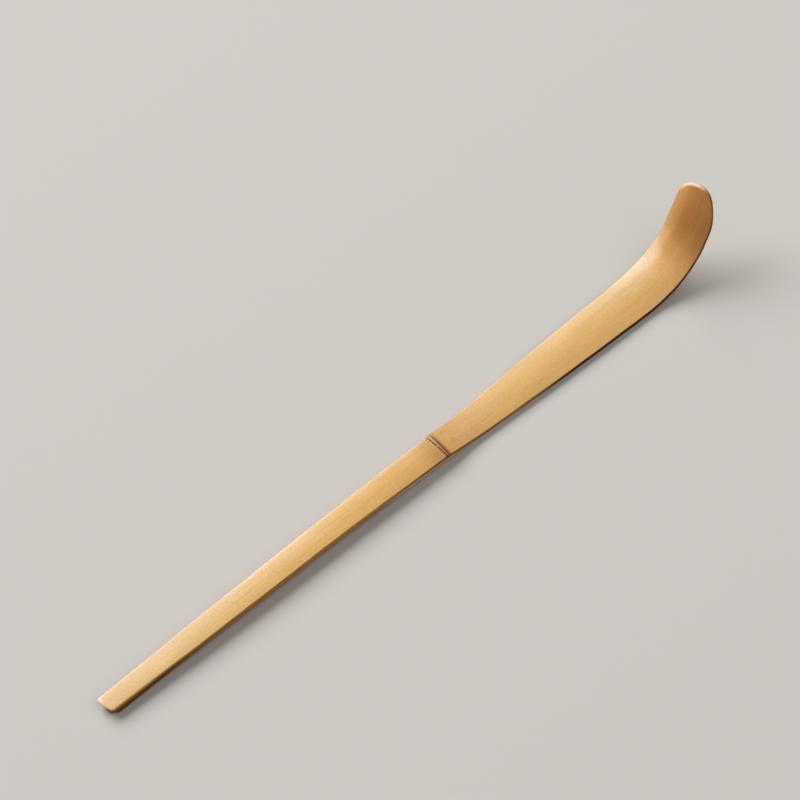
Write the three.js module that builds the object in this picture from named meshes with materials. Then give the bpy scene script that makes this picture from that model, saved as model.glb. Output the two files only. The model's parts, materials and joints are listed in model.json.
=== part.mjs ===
// A bamboo tea scoop, carved from one strip of split bamboo with its rind upwards. The lower internode of the
// culm is the handle. Above the node, the upper internode flares into a stem and is bent up into the scoop.
// Millimetres, +Z up, +X from the foot to the tip, lying as it does on a table.

import * as THREE from "three";

// Lengths along the strip.
const handleLength = 97.2; // cut foot to the lower scar line of the node
const nodeLength = 0.8; // lower to upper scar line, at the middle of the strip
const nodeLean = 0.36; // how far the upper scar line runs on at the +Y edge, and back at the -Y edge
const stemLength = 56.7; // upper scar line to the start of the bend
const bendLength = 28.3; // strip taken up by the bend
const tipLength = 6.4; // straight strip from the bend to the end of the tip
const bendAngle = 63.3; // degrees that the tip is turned up

// Widths across the strip, with the two values that aim the curve of the flare.
const footWidth = 4.7;
const nodeWidth = 7; // at the lower scar line
const waistWidth = 7.2; // at the upper scar line
const scoopWidth = 11.45; // where the tip starts to round off
const neckLength = 14; // stretch over which the stem holds its waist
const shoulderLength = 31; // distance past the node that the flare aims for
const shoulderWidth = 11.55; // width that the flare aims for there
const footCorner = 0.6; // radius of the foot's two corners, seen from above
const footSlant = 1.8; // how far the slanting cut at the foot brings the underside back
const slantFade = 14; // length in which the slant's effect on the underside dies out
const tipRound = 5.4; // length of the rounded end of the tip
const tipFlat = 1.2; // width left flat at the very end of the tip

// Thicknesses at the edges of the strip. The rind stands higher in the middle, as part of the round culm.
const footThickness = 2.3;
const nodeThickness = 1.75;
const stemThickness = 1.35;
const tipThickness = 1.05;
const culmRadius = 36; // radius of the bamboo's outside

// How the strip lies: the foot and the stem touch the table, and the handle arches between them.
const nodeRise = 0.75; // underside of the node above the table
const handleBow = 0.62; // rise of the middle of the handle over a straight line from foot to node
const settleLength = 12; // length past the node in which the stem comes down to the table

// Edges, and the ridge and scar lines of the node.
const topEase = 0.16; // rounded-over upper edge
const tipEase = 0.55; // wider easing where the edge turns across the end of the tip
const handleBevel = 0.5; // bevel under the handle, at 45 degrees
const scoopBevelRun = 1.6; // wider bevel that thins the scoop's edges from below
const scoopBevelRise = 0.4;
const ridgeHeight = 0.14;
const scarDepth = 0.12;
const scarRun = 0.4; // how far a scar line's slope reaches into the internode
const leanFade = 3; // length past the node in which the lean of the scar line dies out

const nodeEnd = handleLength + nodeLength;
const bendStart = nodeEnd + stemLength;
const tipEnd = bendStart + bendLength + tipLength;
const nodeTop = nodeRise + nodeThickness;

// Fineness of the solids.
const segmentsAcross = 6;
const sideLevels = 3; // bevel, side and eased upper edge
const handleSteps = 18;
const flareSteps = 40;
const roundSteps = 9;
const cornerSteps = 3;
const nodeSteps = 4;
const bendSumSteps = 120;

const handleColour = 0xe3bd82;
const nodeColour = 0xb98b55;
const scoopColour = 0xd9ac69;
const rindRoughness = 0.42;
const scarRoughness = 0.55;

const { clamp, lerp, smoothstep, degToRad } = THREE.MathUtils;

// How far a point of the culm's outside, at a distance across from the middle, lies below the middle.
function culmDrop(across) {
  return culmRadius - Math.sqrt(culmRadius ** 2 - across ** 2);
}

// Share of the way that the stem still has to come down to the table: 1 at the node, 0 once it lies flat.
function unsettled(s) {
  return (1 - clamp((s - nodeEnd) / settleLength, 0, 1)) ** 2;
}

function thicknessAt(s) {
  if (s <= handleLength) return lerp(footThickness, nodeThickness, s / handleLength);
  if (s <= bendStart) return lerp(stemThickness, nodeThickness, unsettled(s));
  return lerp(stemThickness, tipThickness, (s - bendStart) / (tipEnd - bendStart));
}

// Height of the upper edges over the table, before the bend.
function edgeHeightAt(s) {
  if (s > handleLength) return lerp(stemThickness, nodeTop, unsettled(s));
  const share = s / handleLength;
  return lerp(footThickness, nodeTop, share) + 4 * handleBow * share * (1 - share);
}

function pitchAt(s) {
  return degToRad(bendAngle) * smoothstep(s, bendStart, bendStart + bendLength);
}

// Point of the line between the upper edges, at a length s along the strip: x, z and the pitch there.
function centreLineAt(s) {
  if (s <= bendStart) return { x: s, z: edgeHeightAt(s), pitch: 0 };
  const step = (s - bendStart) / bendSumSteps;
  let x = bendStart;
  let z = edgeHeightAt(bendStart);
  for (let i = 0; i < bendSumSteps; i++) {
    const pitch = pitchAt(bendStart + (i + 0.5) * step);
    x += Math.cos(pitch) * step;
    z += Math.sin(pitch) * step;
  }
  return { x, z, pitch: pitchAt(s) };
}

// Bevel under the edges: square on the handle, wide and shallow by the time the strip bends.
function bevelAt(s) {
  const share = smoothstep(s, nodeEnd, bendStart);
  return {
    run: lerp(handleBevel, scoopBevelRun, share),
    rise: lerp(handleBevel, scoopBevelRise, share),
  };
}

// A station is one cut across the strip. Its outline point has a half-width, an outward normal in plan and the
// room that an inset has there. faceHalf is the half-width that the rind's crown is reckoned from.
function station(s, half, more = {}) {
  return { s, half, faceHalf: half, normal: [0, 1], room: half, lean: 0, swell: 0, ...more };
}

// Moves one corner of the unit blank to its place on the strip. across runs from -1 to 1 over the width, and
// level from 0, the underside, to sideLevels, the rind.
function placed(cut, across, level) {
  const bevel = bevelAt(cut.s);
  const ease = lerp(topEase, tipEase, Math.max(cut.normal[0], 0));
  const thickness = thicknessAt(cut.s);
  const insets = [bevel.run, 0, 0, ease];
  const inset = Math.min(insets[level], cut.room);
  const half = cut.half + cut.swell - inset * cut.normal[1];
  const y = across * half;
  const edge = culmDrop(cut.faceHalf) + cut.swell;
  const heights = [
    -thickness,
    bevel.rise - thickness,
    edge - culmDrop(cut.half) - ease,
    edge - culmDrop(y),
  ];
  const rise = heights[level];
  const undercut = footSlant * Math.max(-rise / thickness, 0) * Math.max(1 - cut.s / slantFade, 0);
  const s = cut.s - inset * cut.normal[0] + (cut.lean * y) / cut.faceHalf + undercut;
  const line = centreLineAt(s);
  return [line.x - Math.sin(line.pitch) * rise, y, line.z + Math.cos(line.pitch) * rise];
}

// One growth member: a box with a cut at each station, whose corners are moved to their places on the strip.
function member(name, cuts, material) {
  const lengthSteps = cuts.length - 1;
  const blank = new THREE.BoxGeometry(1, 1, 1, lengthSteps, segmentsAcross, sideLevels);
  const corners = blank.getAttribute("position");
  for (let i = 0; i < corners.count; i++) {
    const cut = cuts[Math.round((corners.getX(i) + 0.5) * lengthSteps)];
    const level = Math.round((corners.getZ(i) + 0.5) * sideLevels);
    corners.setXYZ(i, ...placed(cut, 2 * corners.getY(i), level));
  }
  blank.computeVertexNormals();
  const mesh = new THREE.Mesh(blank, material);
  mesh.name = name;
  return mesh;
}

function bamboo(color, roughness) {
  return new THREE.MeshStandardMaterial({ color, roughness, metalness: 0 });
}

// The handle: round corners at the foot, straight tapering sides, and a slope down into the lower scar line.
function handleCuts() {
  const cuts = [];
  const cornerCentre = footWidth / 2 - footCorner;
  for (let i = 0; i < cornerSteps; i++) {
    const angle = (Math.PI / 2) * (i / cornerSteps);
    const normal = [-Math.cos(angle), Math.sin(angle)];
    const s = footCorner + footCorner * normal[0];
    const half = cornerCentre + footCorner * normal[1];
    cuts.push(station(s, half, { normal, room: footCorner, faceHalf: footWidth / 2 }));
  }
  for (let i = 0; i <= handleSteps; i++) {
    const s = lerp(footCorner, handleLength - scarRun, i / handleSteps);
    cuts.push(station(s, lerp(footWidth, nodeWidth, s / handleLength) / 2));
  }
  cuts.push(station(handleLength, nodeWidth / 2, { swell: -scarDepth }));
  return cuts;
}

// The node: a ridge between two scar lines, the upper of which leans.
function nodeCuts() {
  const cuts = [];
  for (let i = 0; i <= nodeSteps; i++) {
    const share = i / nodeSteps;
    const s = lerp(handleLength, nodeEnd, share);
    const half = lerp(nodeWidth, waistWidth, share) / 2;
    const swell = lerp(-scarDepth, ridgeHeight, Math.sin(Math.PI * share));
    cuts.push(station(s, half, { swell, lean: share * nodeLean }));
  }
  return cuts;
}

// The upper internode: out of the upper scar line, along the flare and round the end of the tip.
function scoopCuts() {
  const roundStart = tipEnd - tipRound;
  const flare = new THREE.CubicBezierCurve(
    new THREE.Vector2(nodeEnd + scarRun, waistWidth / 2),
    new THREE.Vector2(nodeEnd + neckLength, waistWidth / 2),
    new THREE.Vector2(nodeEnd + shoulderLength, shoulderWidth / 2),
    new THREE.Vector2(roundStart, scoopWidth / 2),
  );
  const cuts = [station(nodeEnd, waistWidth / 2, { swell: -scarDepth, lean: nodeLean })];
  for (const point of flare.getSpacedPoints(flareSteps)) {
    const lean = nodeLean * (1 - clamp((point.x - nodeEnd) / leanFade, 0, 1));
    cuts.push(station(point.x, point.y, { lean }));
  }
  const lastAngle = Math.acos(tipFlat / scoopWidth);
  for (let i = 1; i <= roundSteps; i++) {
    const angle = lastAngle * (i / roundSteps);
    const half = (scoopWidth / 2) * Math.cos(angle);
    const s = roundStart + tipRound * Math.sin(angle);
    const outward = new THREE.Vector2(Math.sin(angle) / tipRound, (2 * Math.cos(angle)) / scoopWidth);
    const normal = outward.normalize().toArray();
    cuts.push(station(s, half, { normal, faceHalf: scoopWidth / 2, room: scoopWidth / 2 }));
  }
  return cuts;
}

const group = new THREE.Group();
group.add(member("handle_internode", handleCuts(), bamboo(handleColour, rindRoughness)));
group.add(member("node_ring", nodeCuts(), bamboo(nodeColour, scarRoughness)));
group.add(member("scoop_internode", scoopCuts(), bamboo(scoopColour, rindRoughness)));

// The origin is under the middle of the scoop, on the table.
const box = new THREE.Box3().setFromObject(group);
const middle = box.getCenter(new THREE.Vector3());
group.position.set(-middle.x, -middle.y, -box.min.z);

export default group;
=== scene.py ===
"""A bamboo tea scoop, carved from one strip of split bamboo and laid on a pale table.

A place on the strip is given by three millimetre values: s, the length along it from the foot; y, across it;
and depth, how far it lies under the rind. The carving and the finish both use them, so the fibre runs round
the bend with the strip, and cutting through the rind bares the flesh.
"""

import json
import math

import bmesh
import bpy
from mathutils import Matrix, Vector, noise

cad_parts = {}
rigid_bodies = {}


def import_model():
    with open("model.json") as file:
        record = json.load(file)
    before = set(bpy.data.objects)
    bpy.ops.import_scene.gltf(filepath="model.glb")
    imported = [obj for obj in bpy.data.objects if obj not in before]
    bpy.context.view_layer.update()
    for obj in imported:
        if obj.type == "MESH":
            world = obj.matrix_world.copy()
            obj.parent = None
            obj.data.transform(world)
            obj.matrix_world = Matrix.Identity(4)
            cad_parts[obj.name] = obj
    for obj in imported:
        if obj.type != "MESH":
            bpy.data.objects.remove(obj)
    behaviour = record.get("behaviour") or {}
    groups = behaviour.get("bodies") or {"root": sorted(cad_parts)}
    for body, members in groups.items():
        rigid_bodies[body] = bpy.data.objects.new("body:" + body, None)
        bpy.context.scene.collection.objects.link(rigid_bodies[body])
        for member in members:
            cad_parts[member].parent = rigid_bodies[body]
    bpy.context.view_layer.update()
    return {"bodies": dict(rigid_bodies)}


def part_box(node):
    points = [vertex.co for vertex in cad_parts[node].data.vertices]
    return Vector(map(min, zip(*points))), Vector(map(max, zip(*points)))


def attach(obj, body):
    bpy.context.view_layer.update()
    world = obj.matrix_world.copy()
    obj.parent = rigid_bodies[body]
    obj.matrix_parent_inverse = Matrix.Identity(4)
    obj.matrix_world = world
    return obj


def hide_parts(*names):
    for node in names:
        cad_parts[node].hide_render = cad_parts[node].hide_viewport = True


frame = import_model()

MM = 0.001

# Lengths along the strip.
handle_length = 97.2
node_length = 0.8
node_lean = 0.36
stem_length = 56.7
bend_length = 28.3
tip_length = 6.3
bend_angle = math.radians(63.3)

# Widths across the strip, with the two values that aim the curve of the flare.
foot_width = 4.7
node_width = 7
waist_width = 7.2
scoop_width = 11.45
neck_length = 14
shoulder_length = 31
shoulder_width = 11.55
tip_run = 6  # length past the end of the flare
tip_rounds = (9, 4.8)  # length of the rounded end on the -Y and the +Y side
tip_flat = 1.2
tip_trim = 0.3  # how much further the -Y edge is cut back at the tip
tip_trim_turn = (174, 183)  # where the cutting back starts, and where it is full
foot_corners = (1.2, 0.6)  # radius at the -Y and the +Y corner
foot_slant = 1.8  # how far the slanting cut at the foot brings the underside back
slant_fade = 14

# Thicknesses at the edges of the strip, and the round of the culm that the rind keeps.
foot_thickness = 2.3
node_thickness = 1.75
stem_thickness = 1.35
tip_thickness = 1.05
culm_radius = 36

# How the strip lies on the table.
node_rise = 0.75
handle_bow = 0.62
settle_length = 12

# Reach in and down of the eased upper edge, at the -Y and at the +Y side.
foot_eases = ((0.5, 0.8), (0.3, 0.3))
handle_eases = ((0.06, 0.06), (0.24, 0.24))
stem_eases = ((0.08, 0.08), (0.36, 0.36))
rim_eases = ((0.08, 0.08), (1.3, 0.2))
tip_eases = ((0.12, 0.12), (0.6, 0.5))
foot_wear = 28  # length over which the foot's edges are worn
rim_turn = (170, 180)  # where the stem's edge starts to turn into the scoop's rim, and where it is one
tip_ease_end = 1  # length before the end at which the tip's easing is full
tip_flat_turn = (4.5, 2)  # lengths before the end between which the easing turns from round to flat
ease_sides = (-0.65, 0.35)  # shares of the half-width between which one side's easing turns into the other's

# Bevels under the edges.
foot_bevel = 0.35
handle_bevel = 0.5
scoop_bevel_run = 1.6
scoop_bevel_rise = 0.12
tip_bevel_rise = 0.95
tip_bevel_turn = (181, 187)  # where the bevel starts to rise towards the tip, and where it has risen
least_wall = 0.05  # height left between the bevel below and the eased edge above

# The ridge and scar lines of the node.
ridge_height = 0.14
ridge_roundness = 0.8  # under 1, the ridge is fuller than a sine
scar_depth = 0.12
scar_run = 0.4
scar_lean = 0.15  # the lower scar line runs on by this at the +Y edge
lean_fade = 3

# Where the knife left the true edge. A hollow has its depth, and where it starts, deepens, thins and ends.
edge_hollows = ((0.14, 48, 62, 74, 88), (0.22, 165, 169, 174, 179))  # in the -Y and in the +Y edge
knife_wobble = 0.08
slow_wave = 11  # length of the knife's slow straying
quick_wave = 4
edge_seed = 7  # sets the straying of the two edges apart
steady_foot = (2, 8)  # where the straying starts past the foot, and where it is full
steady_tip = 8  # length in which it dies out before the round of the tip

node_end = handle_length + node_length
bend_start = node_end + stem_length
tip_end = bend_start + bend_length + tip_length
round_start = tip_end - tip_run
node_top = node_rise + node_thickness

# Fineness of the carving.
across_steps = 30
bevel_steps = 4
side_steps = 5
ease_steps = 5
level_steps = bevel_steps + side_steps + ease_steps
row_gap = 0.6
bend_row_gap = 0.35
foot_rows = 10
scar_rows = 6
node_rows = 20
tip_rows = 40
bend_sum_steps = 60
flare_search_steps = 40
sharp_angle = math.radians(50)


def lerp(start, end, share):
    return start + (end - start) * share


def clamped(share):
    return min(max(share, 0.0), 1.0)


def smooth_share(value, start, end):
    share = clamped((value - start) / (end - start))
    return share * share * (3 - 2 * share)


def culm_drop(y):
    """How far the culm's outside, at y across, lies below its middle."""
    return culm_radius - math.sqrt(culm_radius**2 - y**2)


def unsettled(s):
    """1 at the node, 0 where the stem lies flat on the table."""
    return (1 - clamped((s - node_end) / settle_length)) ** 2


def thickness_at(s):
    if s <= handle_length:
        return lerp(foot_thickness, node_thickness, s / handle_length)
    if s <= bend_start:
        return lerp(stem_thickness, node_thickness, unsettled(s))
    return lerp(stem_thickness, tip_thickness, (s - bend_start) / (tip_end - bend_start))


def edge_height_at(s):
    """Height of the upper edges over the table, before the bend."""
    if s > handle_length:
        return lerp(stem_thickness, node_top, unsettled(s))
    share = s / handle_length
    return lerp(foot_thickness, node_top, share) + 4 * handle_bow * share * (1 - share)


def pitch_at(s):
    return bend_angle * smooth_share(s, bend_start, bend_start + bend_length)


def centre_line_at(s):
    """x, z and pitch of the line between the upper edges."""
    if s <= bend_start:
        return s, edge_height_at(s), 0.0
    step = (s - bend_start) / bend_sum_steps
    pitches = [pitch_at(bend_start + (i + 0.5) * step) for i in range(bend_sum_steps)]
    x = bend_start + step * sum(math.cos(pitch) for pitch in pitches)
    z = stem_thickness + step * sum(math.sin(pitch) for pitch in pitches)
    return x, z, pitch_at(s)


def bevel_at(s):
    """Run and rise of the bevel under the edges: square on the handle, wide and shallow at the bend."""
    grip_bevel = lerp(foot_bevel, handle_bevel, clamped(s / slant_fade))
    scoop_rise = lerp(scoop_bevel_rise, tip_bevel_rise, smooth_share(s, *tip_bevel_turn))
    share = smooth_share(s, node_end, bend_start)
    return lerp(grip_bevel, scoop_bevel_run, share), lerp(grip_bevel, scoop_rise, share)


def flare_half_at(s):
    """Half-width of the flare, a cubic curve from the waist to the start of the round tip."""
    along = (node_end + scar_run, node_end + neck_length, node_end + shoulder_length, round_start)
    across = (waist_width / 2, waist_width / 2, shoulder_width / 2, scoop_width / 2)

    def on_curve(ends, t):
        a, b, c, d = ends
        return a * (1 - t) ** 3 + 3 * b * t * (1 - t) ** 2 + 3 * c * t**2 * (1 - t) + d * t**3

    low, high = 0.0, 1.0
    for _ in range(flare_search_steps):
        middle = (low + high) / 2
        if on_curve(along, middle) < s:
            low = middle
        else:
            high = middle
    return on_curve(across, low)


def half_width_at(s):
    if s <= handle_length:
        return lerp(foot_width, node_width, s / handle_length) / 2
    if s <= node_end:
        return lerp(node_width, waist_width, (s - handle_length) / node_length) / 2
    return flare_half_at(min(s, round_start))


def outline_at(s, side):
    """Half-width of one edge, and the outward normal in plan as (along, across). side is -1 or 1."""
    chosen = 0 if side < 0 else 1
    hollow, starts, deepens, thins, ends = edge_hollows[chosen]
    half = half_width_at(s) - hollow * smooth_share(s, starts, deepens) * smooth_share(s, ends, thins)
    if side < 0:
        half -= tip_trim * smooth_share(s, *tip_trim_turn)
    corner = foot_corners[chosen]
    tip_round = tip_rounds[chosen]
    if s < corner:
        across = math.sqrt(corner**2 - (corner - s) ** 2) / corner
        return half - corner * (1 - across), ((s - corner) / corner, across)
    if s > tip_end - tip_round:
        sine = 1 - (tip_end - s) / tip_round
        cosine = math.sqrt(max(1 - sine**2, 0.0))
        outward = Vector((sine / tip_round, 2 * cosine / scoop_width)).normalized()
        return half * cosine, tuple(outward)
    slow = noise.noise(Vector((s / slow_wave, side * edge_seed, 0.5)))
    quick = noise.noise(Vector((s / quick_wave, side * edge_seed, 9.5)))
    settled = smooth_share(s, *steady_foot) * (1 - smooth_share(s, round_start - steady_tip, round_start))
    return half - knife_wobble * settled * abs(slow + 0.5 * quick), (0.0, 1.0)


def swell_at(s):
    """Rise of the surface over the plain strip: the node's ridge, and the grooves of its scar lines."""
    if handle_length <= s <= node_end:
        share = (s - handle_length) / node_length
        return lerp(-scar_depth, ridge_height, math.sin(math.pi * share) ** ridge_roundness)
    off = handle_length - s if s < handle_length else s - node_end
    return -scar_depth * (1 - smooth_share(off, 0, scar_run))


def lean_at(s):
    """How far the strip's cuts run on at the +Y edge, near the leaning scar lines."""
    if s <= handle_length:
        return scar_lean * (1 - clamped((handle_length - s) / lean_fade))
    if s <= node_end:
        return lerp(scar_lean, node_lean, (s - handle_length) / node_length)
    return node_lean * (1 - clamped((s - node_end) / lean_fade))


def ease_at(s, off_middle):
    """Reach in and down of the eased upper edge: worn at the foot, crisp along the -Y side, wide at the tip.
    off_middle runs from -1 at the -Y edge of the strip to 1 at the +Y edge."""
    worn = smooth_share(s, foot_wear, 0)
    bent = smooth_share(s, node_end, bend_start)
    rimmed = smooth_share(s, *rim_turn)
    ended = smooth_share(s, round_start, tip_end - tip_ease_end)
    sides = []
    for foot, handle, stem, rim, tip in zip(foot_eases, handle_eases, stem_eases, rim_eases, tip_eases):
        reach = Vector(handle).lerp(Vector(foot), worn).lerp(Vector(stem), bent)
        sides.append(reach.lerp(Vector(rim), rimmed).lerp(Vector(tip), ended))
    return sides[0].lerp(sides[1], smooth_share(off_middle, *ease_sides))


def ease_profile(s, share):
    """Inset and drop of the eased edge, as shares of its reach: a round, or a flat bevel at the tip."""
    turn = math.pi / 2 * share
    flat_start, flat_end = tip_flat_turn
    flat = smooth_share(s, tip_end - flat_start, tip_end - flat_end)
    return lerp(1 - math.cos(turn), share, flat), lerp(1 - math.sin(turn), 1 - share, flat)


class Row:
    """One row of points across the strip."""

    def __init__(self, s):
        self.s = s
        self.edges = [outline_at(s, side) for side in (-1, 1)]
        self.half = half_width_at(s)
        self.crown = culm_drop(self.half)
        self.swell = swell_at(s)
        self.lean = lean_at(s)


def placed(row, across, level):
    """Point of the strip in millimetres, and its s, y and depth.
    across runs from -1 to 1 over the width, and level from the underside to the rind."""
    half, normal = row.edges[1 if across > 0 else 0]
    along = lerp(row.edges[0][1][0], row.edges[1][1][0], (across + 1) / 2)
    run, rise = bevel_at(row.s)
    edge = row.crown + row.swell
    thickness = thickness_at(row.s)
    ease_reach, ease_fall = ease_at(row.s, across * half / row.half)
    bevel_turn = math.pi / 2 * clamped(level / bevel_steps)
    ease_inset, ease_drop = ease_profile(row.s, clamped((level - bevel_steps - side_steps) / ease_steps))
    inset = run * (1 - math.sin(bevel_turn)) + ease_reach * ease_inset
    y = across * (half + row.swell * clamped((level - bevel_steps) / side_steps) - inset * normal[1])
    shoulder = edge - culm_drop(half) - ease_fall
    wall_foot = min(rise - thickness, shoulder - least_wall)
    bevel_height = lerp(-thickness, wall_foot, 1 - math.cos(bevel_turn))
    if level <= bevel_steps:
        height = bevel_height
    elif level <= bevel_steps + side_steps:
        height = lerp(bevel_height, shoulder, (level - bevel_steps) / side_steps)
    else:
        height = edge - culm_drop(y) - ease_fall * ease_drop
    slanted = foot_slant * max(1 - row.s / slant_fade, 0)
    undercut = slanted * max(shoulder - height, 0) / (shoulder + thickness)
    s = row.s - inset * along + row.lean * y / half + undercut
    x, z, pitch = centre_line_at(s)
    point = Vector((x - math.sin(pitch) * height, y, z + math.cos(pitch) * height))
    depth = max(edge - culm_drop(y) - height, 0.0)
    return point, Vector((s, y, depth))


def carved(name, stations, finish):
    """Cuts a blank into rows, moves its points to their places on the strip, and gives it its finish."""
    rows = [Row(s) for s in stations]
    counts = (len(rows) - 1, across_steps, level_steps)
    blank = bmesh.new()
    bmesh.ops.create_cube(blank, size=2)
    for axis, count in enumerate(counts):
        uncut = [edge for edge in blank.edges if edge.verts[0].co[axis] * edge.verts[1].co[axis] < 0]
        bmesh.ops.subdivide_edges(blank, edges=uncut, cuts=count - 1, use_grid_fill=True)
    strip_place = blank.verts.layers.float_vector.new("strip")
    across_share = blank.verts.layers.float.new("across")
    corner = Vector((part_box("handle_internode")[0].x, 0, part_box("scoop_internode")[0].z))
    for vert in blank.verts:
        row, level = (round((vert.co[axis] + 1) / 2 * counts[axis]) for axis in (0, 2))
        vert[across_share] = vert.co.y
        point, vert[strip_place] = placed(rows[row], vert.co.y, level)
        vert.co = corner + point * MM
    mesh = bpy.data.meshes.new(name)
    blank.to_mesh(mesh)
    blank.free()
    mesh.shade_smooth()
    mesh.set_sharp_from_angle(angle=sharp_angle)
    mesh.materials.append(finish)
    piece = bpy.data.objects.new(name, mesh)
    bpy.context.scene.collection.objects.link(piece)
    return piece


def evenly(start, end, gap):
    """Lengths from start up to, but not at, end, about a gap apart."""
    steps = max(round((end - start) / gap), 1)
    return [lerp(start, end, i / steps) for i in range(steps)]


def handle_stations():
    corner = max(foot_corners)
    foot = [corner * (1 - math.cos(math.pi / 2 * i / foot_rows)) for i in range(foot_rows)]
    grip = evenly(corner, handle_length - scar_run, row_gap)
    scar = evenly(handle_length - scar_run, handle_length, scar_run / scar_rows)
    return foot + grip + scar + [handle_length]


def node_stations():
    return evenly(handle_length, node_end, node_length / node_rows) + [node_end]


def scoop_stations():
    scar = evenly(node_end, node_end + scar_run, scar_run / scar_rows)
    stem = evenly(node_end + scar_run, bend_start, row_gap)
    bend = evenly(bend_start, round_start, bend_row_gap)
    last_turn = math.acos(tip_flat / scoop_width)
    tip = [lerp(round_start, tip_end, math.sin(last_turn * i / tip_rows)) for i in range(tip_rows + 1)]
    return scar + stem + bend + tip


def tone(code):
    """Linear colour of a hexadecimal colour code."""
    parts = [((code >> shift) & 255) / 255 for shift in (16, 8, 0)]
    linear = [part / 12.92 if part <= 0.04045 else ((part + 0.055) / 1.055) ** 2.4 for part in parts]
    return (*linear, 1.0)


class Shade:
    """A socket of a finish, which a Python expression can use as a value."""

    def __init__(self, finish, socket):
        self.finish = finish
        self.socket = socket

    def maths(self, operation, first, second):
        return self.finish.node("ShaderNodeMath", {"operation": operation}, {0: first, 1: second})

    def __add__(self, other):
        return self.maths("ADD", self, other)

    def __sub__(self, other):
        return self.maths("SUBTRACT", self, other)

    def __mul__(self, other):
        return self.maths("MULTIPLY", self, other)

    def __truediv__(self, other):
        return self.maths("DIVIDE", self, other)

    def __radd__(self, other):
        return self.maths("ADD", other, self)

    def __rsub__(self, other):
        return self.maths("SUBTRACT", other, self)

    def __rmul__(self, other):
        return self.maths("MULTIPLY", other, self)

    def __abs__(self):
        return self.finish.node("ShaderNodeMath", {"operation": "ABSOLUTE"}, {0: self})


class Nodes:
    """The nodes of a material or of the world."""

    def __init__(self, owner):
        owner.use_nodes = True
        self.tree = owner.node_tree

    def node(self, kind, settings, sockets, output=0):
        """Adds a node, sets it up, then sets or links its sockets. Returns one of its outputs."""
        made = self.tree.nodes.new(kind)
        for name, setting in settings.items():
            if name == "stops":
                self.set_stops(made.color_ramp, setting)
            else:
                setattr(made, name, setting)
        self.join(made, sockets)
        return Shade(self, made.outputs[output])

    def set_stops(self, ramp, stops):
        while len(ramp.elements) < len(stops):
            ramp.elements.new(1.0)
        for element, (position, colour) in zip(ramp.elements, stops):
            element.position = position
            element.color = colour

    def join(self, made, sockets):
        for name, value in sockets.items():
            if isinstance(value, Shade):
                self.tree.links.new(value.socket, made.inputs[name])
            else:
                made.inputs[name].default_value = value

    def step(self, value, start, end):
        """0 up to start, 1 from end on, and smooth between."""
        settings = {"interpolation_type": "SMOOTHSTEP"}
        return self.node("ShaderNodeMapRange", settings, {"Value": value, "From Min": start, "From Max": end})

    def band(self, distance, inner, outer):
        """1 within inner of a line, 0 beyond outer."""
        return 1 - self.step(abs(distance), inner, outer)

    def stretch(self, value, starts, full, thins, ends):
        """1 from full to thins, 0 before starts and past ends."""
        return self.step(value, starts, full) * self.step(value, ends, thins)

    def mixed(self, first, second, share):
        return self.node("ShaderNodeMix", {"data_type": "RGBA"}, {0: share, 6: first, 7: second}, 2)

    def along_strip(self, tones, s):
        """Colour that changes along the strip."""
        stops = [(position, tone(code)) for position, code in tones]
        return self.node("ShaderNodeValToRGB", {"stops": stops}, {0: s / tip_end})

    def brightened(self, colour, factor):
        return self.node("ShaderNodeVectorMath", {"operation": "SCALE"}, {0: colour, "Scale": factor})

    def stretched_noise(self, place, scale, detail):
        """Noise over the strip, with its own scale along it, across it and in depth."""
        spread = self.node("ShaderNodeVectorMath", {"operation": "MULTIPLY"}, {0: place, 1: scale})
        return self.node("ShaderNodeTexNoise", {}, {"Vector": spread, "Scale": 1, "Detail": detail}, "Fac")


# Stretches of the finish, in millimetres from the foot: where each starts, is full, thins and ends.
tanned_stretch = (98, 114, 122, 160)
shaded_stretch = (106, 124, 156, 166)
settling_stretch = (96, 99, 106, 116)
sheen_stretch = (146, 157, 162, 167)
polished_stretch = (20, 60, 168, 178)

# The same, in millimetres past the lower scar line and past the upper one.
blush_and_shade_stretch = (-6, -0.6, 0, 0.2)
smudged_stretch = (0, 1, 2, 8)
shadowed_stretch = (0, 0.3, 0.3, 1.1)

# Changes along the finish, in millimetres from the foot: where each starts, and where it is complete.
grip_paling_and_sheen = (78, 42)
foot_browning_and_shade = (50, 20)
foot_roughening = (45, 5)
fibre_rising = (5, 60)
shade_deepening = (128, 150)
underside_paling = (110, 130)
bend_brightening = (164, 172)
tip_toning_and_shade = (168, 178)

# Places on the bend: the middles of the painted sheen and the painted highlight, and of the two patches where
# fingers have dulled the polish.
sheen_place = 166.5
handled_place = 168.8
dulled_place = 169.3
highlight_place = 173.2

# Marks on the rind: place along and across, half-length, half-width, and how dark.
flecks = (
    (100.8, 2.3, 0.3, 0.16, 0.6),
    (99.6, 2.55, 0.2, 0.1, 0.25),
    (101.1, -1.2, 1.3, 0.9, 0.1),
    (103.2, 0.4, 1.6, 0.8, 0.06),
    (118.5, -0.95, 0.7, 0.14, 0.18),
    (126.9, -2.5, 0.9, 0.13, 0.3),
    (177, 0.8, 3.6, 2.6, 0.14),
)
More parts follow.
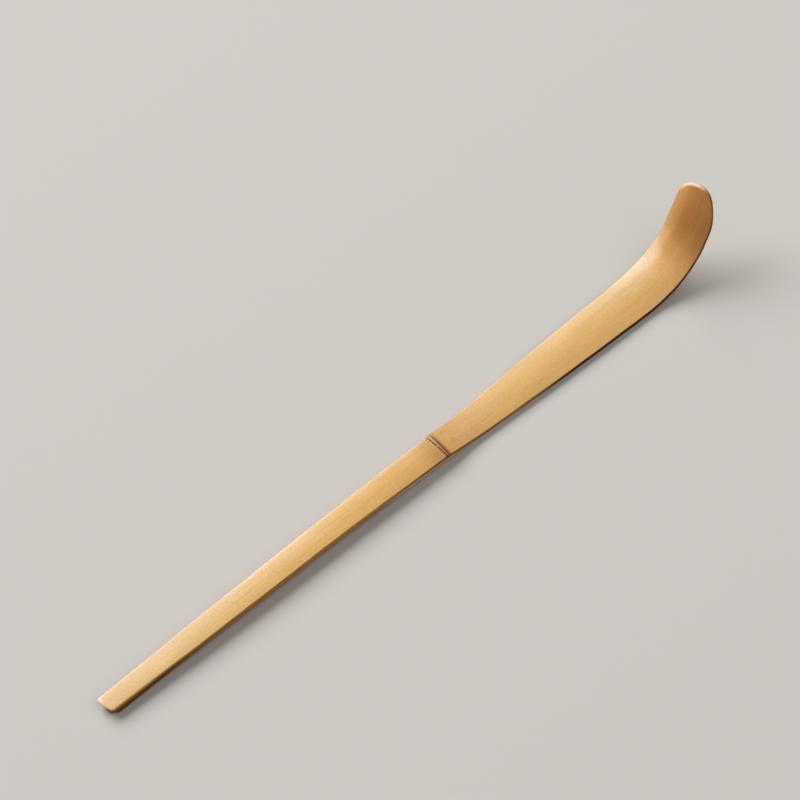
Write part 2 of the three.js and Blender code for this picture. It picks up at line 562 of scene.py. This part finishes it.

# Colours along the strip, at shares of its length, and the single colours that are mixed into them.
# The rind is paler at the foot and darker at the tip, partly as painted light and shade.
rind_tones = (
    (0.0, 0xDEBB82),
    (0.075, 0xE4C088),
    (0.24, 0xE0B76E),
    (0.38, 0xDEAF62),
    (0.5, 0xD6A356),
    (0.545, 0xD4A86F),
    (0.63, 0xDAAD65),
    (0.84, 0xDBAD64),
    (0.88, 0xD9A75E),
    (0.915, 0xD19952),
    (0.952, 0xB27530),
    (0.98, 0xBC7E38),
)
rind_streak = tone(0xB98A4C)
# Brown of real patina, also used as painted shade on the -Y side, below the node and on the foot's wall.
shade_and_patina = tone(0xBC8640)
honey_rind = tone(0xCC983C)
toasted_and_shaded_rind = tone(0x9A6024)
pink_rind = tone(0xB87F4A)
# The flesh is darkest at the foot and along the stem, partly as painted shade where the wall lies in shadow
# by the table.
flesh_tones = (
    (0.0, 0x6C3E12),
    (0.08, 0x744416),
    (0.15, 0xAA7338),
    (0.4, 0xC48B4E),
    (0.62, 0xC48B4E),
    (0.7, 0x44240A),
    (0.9, 0x4C2A0C),
    (0.96, 0x8A5A2C),
)
worn_and_sheen_tone = tone(0xEFC9A4)
painted_highlight_tone = tone(0xEFCE98)
painted_sheen_tone = tone(0xCEBA8C)
pale_corner = tone(0xF6DCC6)
# Golden flesh of the tip's rim, also used as painted light on the +Y side of the tip's rind.
rim_and_lit_side_tone = tone(0xE2B068)
outer_flesh = tone(0x6A3C14)
under_flesh = tone(0xB8854A)
inner_flesh = tone(0xDCC4A8)
sanded_flesh = tone(0xE8CBAE)
flesh_bundle = tone(0x6B4324)
scar_brown = tone(0x6C3604)
ridge_brown = tone(0xAE7840)


class Spot:
    """A spot on the strip as shader values: its place, and the noises that run with the grain there."""

    def __init__(self, finish):
        place = finish.node("ShaderNodeAttribute", {"attribute_name": "strip"}, {}, "Vector")
        self.s, self.y, self.depth = (
            finish.node("ShaderNodeSeparateXYZ", {}, {0: place}, axis) for axis in range(3)
        )
        self.across = finish.node("ShaderNodeAttribute", {"attribute_name": "across"}, {}, "Fac")
        self.lower_line = self.s - handle_length - self.y * (2 * scar_lean / node_width)
        self.upper_line = self.s - node_end - self.y * (2 * node_lean / waist_width)
        self.tanned = finish.step(self.across, 0.5, 0.95) * finish.stretch(self.s, *tanned_stretch)
        self.fibre = finish.stretched_noise(place, (0.035, 2.4, 2.4), 4)
        self.mottle = finish.stretched_noise(place, (0.09, 0.35, 0.35), 3)
        self.speckle = finish.stretched_noise(place, (1.2, 1.2, 1.2), 2)
        self.grain = finish.stretched_noise(place, (1.4, 5.0, 5.0), 2)
        self.cross_line = finish.stretched_noise(place, (2.6, 0.4, 0.4), 2)
        self.bead = finish.stretched_noise(place, (1.6, 2.8, 2.8), 1)
        self.bundle = finish.stretched_noise(place, (0.03, 3.0, 3.0), 1)


def rind_colour(finish, spot):
    """The polished outside of the culm: pale at the foot, honey along the stem and toasted at the tip. Parts
    of it are painted light and shade: the paler foot, sheen and highlight on the bend, shade on the -Y side,
    below the node and on the tip's -Y side, and light on the tip's +Y side.
    """
    s, y = spot.s, spot.y
    rind = finish.along_strip(rind_tones, s)
    # Darker towards the -Y side, away from the light: partly patina, partly painted shade.
    rind = finish.mixed(rind, shade_and_patina, 0.3 * finish.step(y, 1, -4))
    # Paler towards the foot on the +Y side: partly worn flesh, partly a painted sheen.
    rind = finish.mixed(rind, worn_and_sheen_tone, 0.4 * finish.step(s, *grip_paling_and_sheen) * finish.step(y, -2, 2))
    rind = finish.mixed(rind, pale_corner, 0.9 * finish.step(s - 0.7 * y, 0.3, -0.9))
    rind = finish.mixed(rind, honey_rind, 0.5 * spot.tanned)
    # A pale band across the bend before the highlight: a painted sheen.
    sheen_mask = finish.band(spot.across - 0.4, 0.2, 0.5) * finish.stretch(s, *sheen_stretch)
    rind = finish.mixed(rind, painted_sheen_tone, 0.25 * sheen_mask)
    # Painted sheen and painted highlight on the +Y side of the bend.
    off_centre = finish.step(spot.across, 0.4, 0.85)
    rind = finish.mixed(rind, painted_sheen_tone, 0.5 * off_centre * finish.band(s - sheen_place, 1, 4.5))
    rind = finish.mixed(rind, painted_highlight_tone, 0.5 * off_centre * finish.band(s - highlight_place, 1, 4))
    # Below the node: a real brown and pink blush, with painted shade in it.
    blushed_and_shaded = finish.stretch(spot.lower_line, *blush_and_shade_stretch)
    rind = finish.mixed(rind, shade_and_patina, 0.4 * blushed_and_shaded)
    rind = finish.mixed(rind, pink_rind, blushed_and_shaded * finish.step(y, 2, -3) * (0.2 + 0.8 * spot.speckle))
    # The tip: toasted, with painted shade on its -Y side and painted light on its +Y side.
    tipward = finish.step(s, *tip_toning_and_shade)
    rind = finish.mixed(rind, toasted_and_shaded_rind, 0.5 * tipward * finish.step(y, 3, -6))
    rind = finish.mixed(rind, rim_and_lit_side_tone, 0.6 * tipward * finish.step(y, 1, 5))
    streak = (0.2 + 0.2 * finish.step(s, *fibre_rising)) * finish.step(spot.fibre, 0.48, 0.75)
    rind = finish.mixed(rind, rind_streak, streak)
    smudge = finish.stretch(spot.upper_line, *smudged_stretch) * finish.step(spot.cross_line, 0.45, 0.75)
    rind = finish.mixed(rind, ridge_brown, 0.28 * smudge)
    shading = (0.07 + 0.05 * finish.step(s, *shade_deepening)) * finish.step(spot.across, 0.55, 0.95)
    shading = shading * finish.stretch(s, *shaded_stretch)
    # Brightness of the rind, less by the painted shade of the stem's +Y edge and of the stretch below the
    # node.
    evenness = 0.6 + 0.03 * finish.step(s, *bend_brightening) - shading - 0.08 * blushed_and_shaded
    unevenness = 0.26 * spot.mottle + 0.14 * spot.speckle + 0.43 * spot.grain
    return finish.brightened(rind, evenness + unevenness)


def marked(finish, spot, rind):
    """The rind with its flecks, and with the brown ridge of the node and the shadow of its upper scar."""
    for mark_s, mark_y, half_length, half_width, darkness in flecks:
        lengthwise = finish.band((spot.s - mark_s) / half_length, 0.4, 1.0)
        crosswise = finish.band((spot.y - mark_y) / half_width, 0.4, 1.0)
        rind = finish.mixed(rind, scar_brown, darkness * lengthwise * crosswise)
    ridge = finish.step(spot.lower_line, -0.1, 0.2) * (1 - finish.step(spot.upper_line, 0.1, 0.9))
    rind = finish.mixed(rind, ridge_brown, 0.8 * ridge)
    rind = finish.mixed(rind, scar_brown, 0.3 * ridge * finish.step(spot.y, 1.5, -1.5))
    return finish.mixed(rind, scar_brown, 0.28 * finish.stretch(spot.upper_line, *shadowed_stretch))


def flesh_colour(finish, spot):
    """The wood under the rind, which shows wherever the knife or wear has bared it. Its darker wall at the
    foot and along the stem is partly painted shade.
    """
    s, y, depth = spot.s, spot.y, spot.depth
    near_node = finish.band(s - node_end, 10, 24)
    flesh = finish.along_strip(flesh_tones, s)
    # Browner at the top of the foot's wall: partly patina, partly painted shade.
    flesh = finish.mixed(flesh, shade_and_patina, finish.step(depth, 0.9, 0.1) * finish.step(s, *foot_browning_and_shade))
    underside = finish.step(depth, 1.05, 1.35) * finish.step(s, *underside_paling)
    flesh = finish.mixed(flesh, under_flesh, underside)
    flesh = finish.mixed(flesh, outer_flesh, 0.7 * finish.step(depth, 0.95, 0.6) * near_node)
    flesh = finish.mixed(flesh, inner_flesh, 0.9 * finish.step(depth, 0.75, 1.1) * near_node)
    flesh = finish.mixed(flesh, flesh_bundle, 0.5 * finish.step(spot.bundle, 0.5, 0.75))
    rim = finish.step(s, *rim_turn) * finish.step(y, 2.5, 4) * finish.step(depth, 0.5, 0.3)
    flesh = finish.mixed(flesh, rim_and_lit_side_tone, rim)
    sanded = finish.step(s, tip_end - 4.5, tip_end - 2.5) * finish.step(depth, 0.9, 0.6)
    flesh = finish.mixed(flesh, sanded_flesh, sanded * finish.stretch(y, -3.2, 2.4, 4.4, 6))
    worn = finish.step(s, 1.6, 0.6) * finish.step(y, -1.5, 1) * finish.step(depth, 0.6, 0.3)
    return finish.mixed(flesh, pale_corner, worn)


def scar_lines(finish, spot):
    """The two brown scar lines of the node: beaded, broken in places, and fainter by the +Y edge."""
    stray = 0.2 * (spot.bead - 0.5)
    lower = finish.band(spot.lower_line + stray, 0.05, 0.22) * finish.step(spot.bead, 0.3, 0.6)
    upper = finish.band(spot.upper_line + stray, 0.1, 0.3) * finish.step(spot.bead, 0.15, 0.45)
    fading = 1 - 0.7 * finish.step(spot.across, 0.65, 0.95)
    return (lower + upper) * finish.step(spot.depth, 0.3, 0.05) * fading


def polish(finish, spot):
    """Strength of the polish: less at the foot and the tip, and dulled where fingers hold the bend."""
    gloss = 0.34 + 0.35 * finish.stretch(spot.s, *polished_stretch)
    dulled = finish.band(spot.s - dulled_place, 1, 4.5) * finish.band(spot.y - 0.6, 0.8, 2.8)
    handled = finish.band(spot.s - handled_place, 1.2, 3.8) * finish.step(spot.y, 2.2, 4)
    settling = finish.stretch(spot.s, *settling_stretch)
    for loss, where in ((0.75, dulled), (0.3, spot.tanned), (0.35, handled), (0.45, settling)):
        gloss = gloss * (1 - loss * where)
    return gloss


def bamboo(name):
    material = bpy.data.materials.new(name)
    finish = Nodes(material)
    spot = Spot(finish)
    rind = marked(finish, spot, rind_colour(finish, spot))
    bare = finish.step(spot.depth + 0.06 * (spot.fibre - 0.5), 0.08, 0.18)
    scar = scar_lines(finish, spot)
    wood = finish.mixed(rind, flesh_colour(finish, spot), bare)
    roughness = 0.25 + 0.06 * (spot.fibre - 0.5) + 0.2 * finish.step(spot.s, *foot_roughening) + 0.3 * bare
    relief = spot.fibre + bare * spot.bundle
    normal = finish.node("ShaderNodeBump", {}, {"Strength": 0.3, "Distance": 0.01 * MM, "Height": relief})
    finish.join(finish.tree.nodes["Principled BSDF"], {
        "Base Color": finish.mixed(wood, scar_brown, scar),
        "Roughness": roughness,
        "Specular IOR Level": 0.15,
        "Coat Weight": polish(finish, spot) * (1 - bare) * (1 - scar),
        "Coat Roughness": 0.25,
        "Coat IOR": 1.8,
        "Normal": normal,
    })
    return material


# The stand: colours of the table, of the light all round and of the background, and the camera's place.
table_colour = (0.6, 0.585, 0.56, 1)
room_colour = (1, 0.9, 0.77, 1)
backdrop_colour = (0.6, 0.59, 0.57, 1)
camera_elevation = math.radians(52)
camera_turn = math.radians(44.389)
camera_distance = 1092.45
camera_aim = (101.762, 15.956)  # along the strip from the foot, and across it
sensor_width = 36
focal_length = 225


def table_top():
    """A plain pale table, far wider than the scoop."""
    material = bpy.data.materials.new("pale_table")
    finish = Nodes(material)
    finish.join(finish.tree.nodes["Principled BSDF"], {"Base Color": table_colour, "Specular IOR Level": 0})
    blank = bmesh.new()
    bmesh.ops.create_grid(blank, x_segments=1, y_segments=1, size=1)
    mesh = bpy.data.meshes.new("table")
    blank.to_mesh(mesh)
    blank.free()
    mesh.materials.append(material)
    table = bpy.data.objects.new("table", mesh)
    bpy.context.scene.collection.objects.link(table)


def turned_to(item, place, aim):
    item.location = place
    item.rotation_euler = (Vector(aim) - Vector(place)).to_track_quat("-Z", "Y").to_euler()
    bpy.context.scene.collection.objects.link(item)


def softbox(name, place, aim, width, height, power):
    lamp = bpy.data.lights.new(name, "AREA")
    lamp.shape = "RECTANGLE"
    lamp.size = width
    lamp.size_y = height
    lamp.energy = power
    turned_to(bpy.data.objects.new(name, lamp), place, aim)


def room_light(strength):
    """Even light from all round, and a pale background behind the table."""
    world = bpy.data.worlds.new("room")
    bpy.context.scene.world = world
    room = Nodes(world)
    light = room.tree.nodes["Background"]
    room.join(light, {"Color": room_colour, "Strength": strength})
    backdrop = room.node("ShaderNodeBackground", {}, {"Color": backdrop_colour})
    ray_kinds = ("Is Camera Ray", "Is Glossy Ray", "Is Transmission Ray")
    seen = sum(room.node("ShaderNodeLightPath", {}, {}, kind) for kind in ray_kinds)
    shown = room.node("ShaderNodeMixShader", {}, {0: seen, 1: Shade(room, light.outputs[0]), 2: backdrop})
    room.join(room.tree.nodes["World Output"], {"Surface": shown})


def camera():
    """Looks down at the scoop from the height and side that the photo was taken from."""
    aim_along, aim_across = camera_aim
    aim = Vector((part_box("handle_internode")[0].x + aim_along * MM, aim_across * MM, 0))
    level = math.cos(camera_elevation)
    height = math.sin(camera_elevation)
    back = Vector((-math.sin(camera_turn) * level, -math.cos(camera_turn) * level, height))
    lens = bpy.data.cameras.new("camera")
    lens.sensor_width = sensor_width
    lens.lens = focal_length
    seat = bpy.data.objects.new("camera", lens)
    turned_to(seat, aim + back * camera_distance * MM, aim)
    bpy.context.scene.camera = seat


bamboo_finish = bamboo("bamboo")
node_finish = bamboo("node_scar")
body = next(iter(frame["bodies"]))
for piece_name, stations, finish, slot, node in (
    ("handle", handle_stations(), bamboo_finish, "bamboo", "handle_internode"),
    ("node", node_stations(), node_finish, "node_scar", "node_ring"),
    ("scoop", scoop_stations(), bamboo_finish, "bamboo", "scoop_internode"),
):
    piece = carved(piece_name, stations, finish)
    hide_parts(node)
    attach(piece, body)

table_top()
softbox("window_light", place=(0.054, 2.444, 1.87), aim=(0.596, 0.169, 0), width=3.95, height=2.04, power=138)
softbox("fill_light", place=(0.75, -1.5, 2.5), aim=(0, 0, 0), width=3, height=3, power=26)
room_light(strength=0.16)
camera()
bpy.context.scene.view_settings.view_transform = "Standard"
